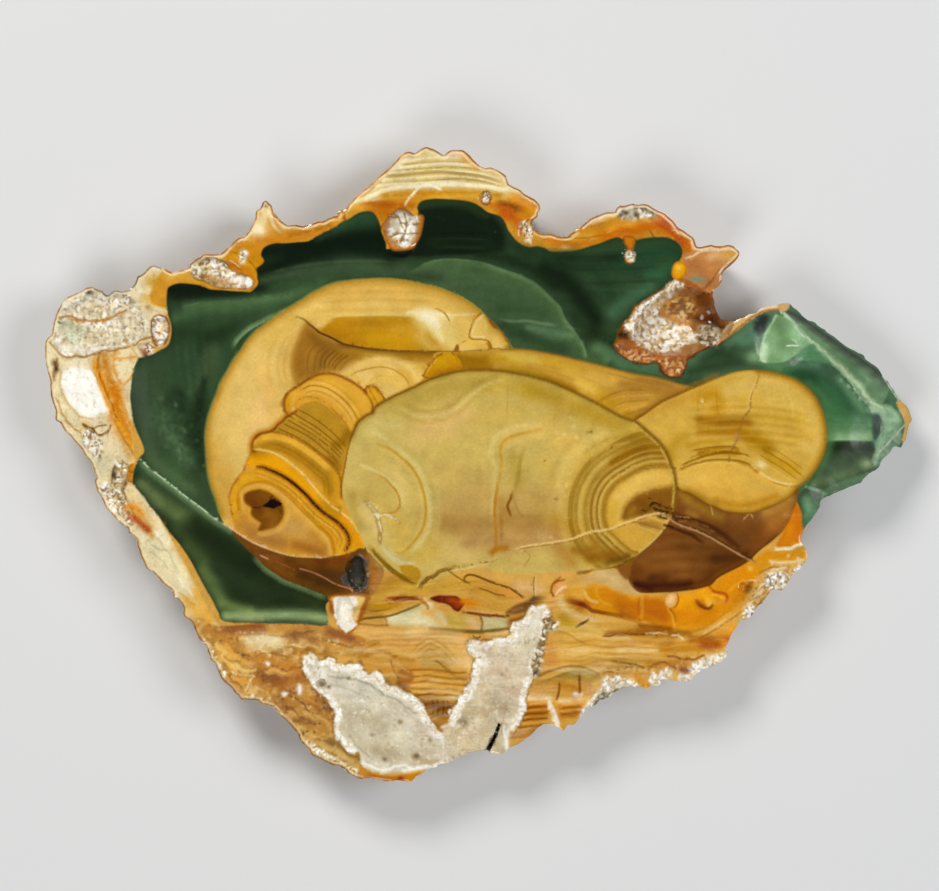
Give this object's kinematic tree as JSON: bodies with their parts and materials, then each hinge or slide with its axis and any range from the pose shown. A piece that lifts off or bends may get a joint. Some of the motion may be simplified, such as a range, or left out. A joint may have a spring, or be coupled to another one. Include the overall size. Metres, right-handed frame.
{
  "type": "polished jasper slab",
  "caption": "Flat slice of natural jasper with an irregular skin edge, a polished egg-patterned face, crystal pockets and a sawn flat back to rest on.",
  "frame": {"origin": "middle of the slab's bounding box, on the plane of the sawn back", "axes": "+X along the slab's long side, to the right in the picture; +Y across it, upwards in the picture; +Z out of the polished face, so the slab lies on its sawn back"},
  "size_m": [0.1256, 0.0922, 0.0092],
  "materials": {
    "jasper": "polished face, rough natural edge and sawn back"
  },
  "bodies": {
    "root": {"jasper_slab": "jasper"}
  },
  "joints": []
}
